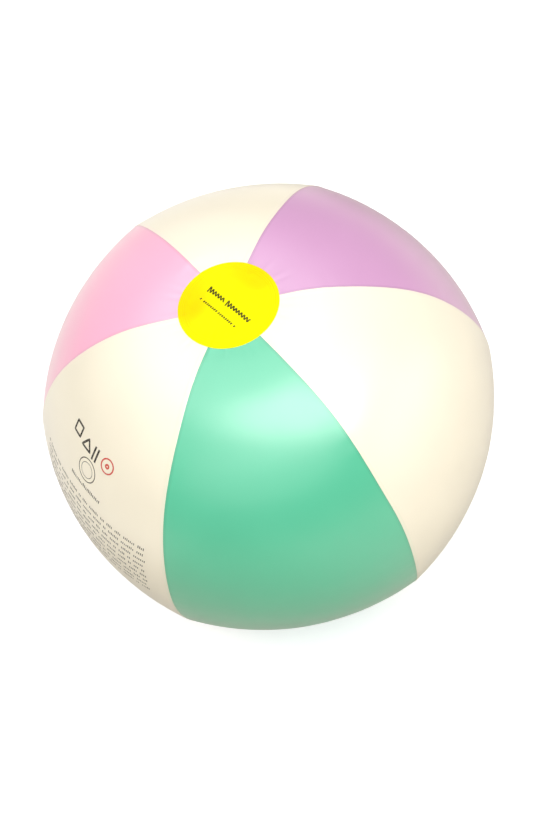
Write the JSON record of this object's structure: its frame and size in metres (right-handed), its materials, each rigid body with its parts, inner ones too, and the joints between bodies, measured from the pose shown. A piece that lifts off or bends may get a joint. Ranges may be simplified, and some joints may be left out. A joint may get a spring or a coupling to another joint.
{
  "type": "inflatable beach ball",
  "caption": "Inflated beach ball of lap-welded film gores in cream, pink, green and lilac, with round pole discs and a push-in valve with a strapped plug.",
  "frame": {"origin": "centre of the ball, halfway between the two pole discs", "axes": "+Z through the middle of the top disc, +X through the seam between the lilac gore and the right white gore, +Y through the middle of the back white gore that holds the valve"},
  "size_m": [0.4, 0.3928, 0.345],
  "materials": {
    "film_white": "satin",
    "film_pink": "satin",
    "film_green": "satin",
    "film_lilac": "satin",
    "film_yellow": "satin",
    "valve_clear": "satin"
  },
  "bodies": {
    "ball": {"gore_white_back": "film_white", "gore_pink": "film_pink", "gore_white_left": "film_white", "gore_green": "film_green", "gore_white_right": "film_white", "gore_lilac": "film_lilac", "disc_top": "film_yellow", "disc_bottom": "film_yellow", "valve_flange": "valve_clear", "valve_skirt": "valve_clear"},
    "stem": {"valve_stem": "valve_clear", "valve_insert": "valve_clear", "strap_root": "valve_clear"},
    "plug": {"valve_plug": "valve_clear", "plug_strap": "valve_clear"},
    "flap": {"valve_flap": "valve_clear"}
  },
  "joints": [
    {"name": "valve_pull", "type": "slide", "parent": "ball", "child": "stem", "axis": [0, 0.866, -0.5], "range_m": [0, 0.022], "deforming": ["valve_skirt"]},
    {"name": "plug_swing", "type": "hinge", "parent": "stem", "child": "plug", "pos_m": [0, 0.16647, -0.10486], "axis": [-1, 0, 0], "range_deg": [0, 160]},
    {"name": "flap_open", "type": "hinge", "parent": "stem", "child": "flap", "pos_m": [0, 0.15681, -0.09316], "axis": [1, 0, 0], "range_deg": [0, 60], "stiffness_Nm_per_rad": 0.0001}
  ]
}
